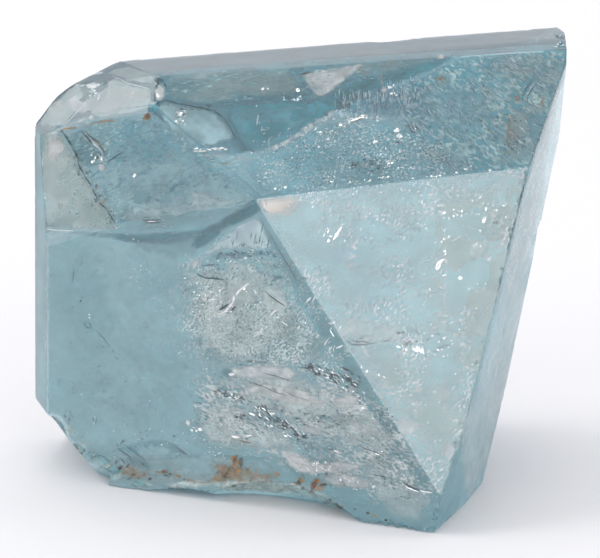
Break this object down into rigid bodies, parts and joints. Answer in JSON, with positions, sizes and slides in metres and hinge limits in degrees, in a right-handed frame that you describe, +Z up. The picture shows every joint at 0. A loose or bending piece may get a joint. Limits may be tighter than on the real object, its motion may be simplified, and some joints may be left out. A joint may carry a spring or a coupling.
{
  "type": "topaz crystal",
  "caption": "Rough natural crystal of clear pale blue topaz: a blocky faceted lump with sharp edges, a broken flat base and small shelly chips, for display as a mineral specimen.",
  "frame": {"origin": "on the resting plane, under the middle of the crystal's box", "axes": "+Z up from the broken base; +X along the crystal's longest side, to the right of someone facing the pointed apex; +Y away from them, towards the plain back"},
  "size_m": [0.0556, 0.036, 0.0449],
  "materials": {
    "topaz": "clear, glossy natural faces, pale greenish blue"
  },
  "bodies": {
    "root": {"crystal": "topaz"}
  },
  "joints": []
}
